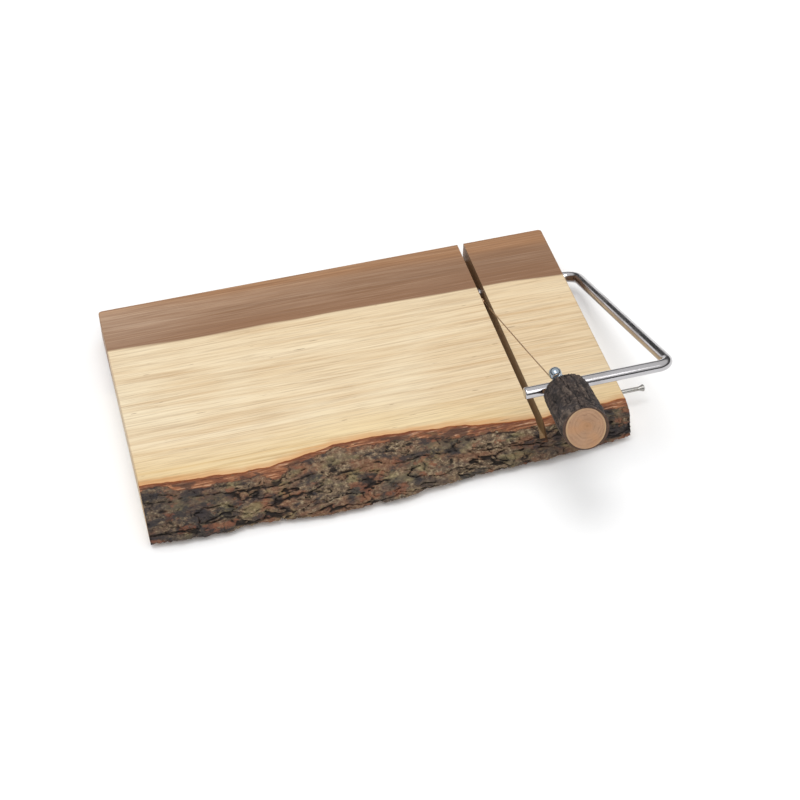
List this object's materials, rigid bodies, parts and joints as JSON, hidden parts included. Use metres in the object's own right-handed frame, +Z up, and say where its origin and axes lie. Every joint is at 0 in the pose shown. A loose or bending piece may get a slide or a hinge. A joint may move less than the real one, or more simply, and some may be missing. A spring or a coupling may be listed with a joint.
{
  "type": "cheese wire cutter",
  "caption": "Live-edge wooden cheese board whose hinged bent-rod arm, held by a short twig handle, draws a taut steel wire down into a slot cut across the slab.",
  "frame": {"origin": "on the worktop under the middle of the slab, halfway along its length and 75 mm in front of its straight back edge", "axes": "+X along the slab to the hinged end, +Y to the straight back edge, +Z up"},
  "size_m": [0.2763, 0.2098, 0.0896],
  "materials": {
    "slab_wood": "pale sapwood with a brown heartwood stripe along the back, lightly oiled",
    "slab_bark": "rough furrowed bark, clear sealed",
    "pin_steel": "bright wire nail",
    "foot_rubber": "matt black",
    "screw_zinc": "zinc plated",
    "rod_chrome": "bright nickel-chrome plate",
    "wire_steel": "drawn stainless wire",
    "stud_zinc": "bright zinc plated, slightly blue",
    "insert_brass": "turned brass",
    "twig_wood": "sawn and sanded end grain",
    "twig_bark": "dark furrowed twig bark"
  },
  "bodies": {
    "base": {"board": "slab_wood", "bark_edge": "slab_bark", "stop_pin": "pin_steel", "foot_front_left": "foot_rubber", "foot_front_right": "foot_rubber", "foot_back_left": "foot_rubber", "foot_back_right": "foot_rubber", "foot_screw_front_left": "screw_zinc", "foot_screw_front_right": "screw_zinc", "foot_screw_back_left": "screw_zinc", "foot_screw_back_right": "screw_zinc"},
    "arm": {"slicing_arm": "rod_chrome", "cutting_wire": "wire_steel", "ball_stud": "stud_zinc", "rod_nut": "stud_zinc", "handle_nut": "stud_zinc", "handle_washer": "stud_zinc"},
    "handle": {"handle_core": "twig_wood", "handle_bark": "twig_bark", "handle_insert": "insert_brass"}
  },
  "joints": [
    {"name": "arm_swing", "type": "hinge", "parent": "base", "child": "arm", "pos_m": [0.1, 0.0414, 0.012], "axis": [-1, 0, 0], "range_deg": [-20.5, 156.5]},
    {"name": "handle_turn", "type": "hinge", "parent": "arm", "child": "handle", "pos_m": [0.0822, -0.09159, 0.06928], "axis": [-0.0463, -0.9734, 0.2245], "range_deg": [-180, 180]}
  ]
}
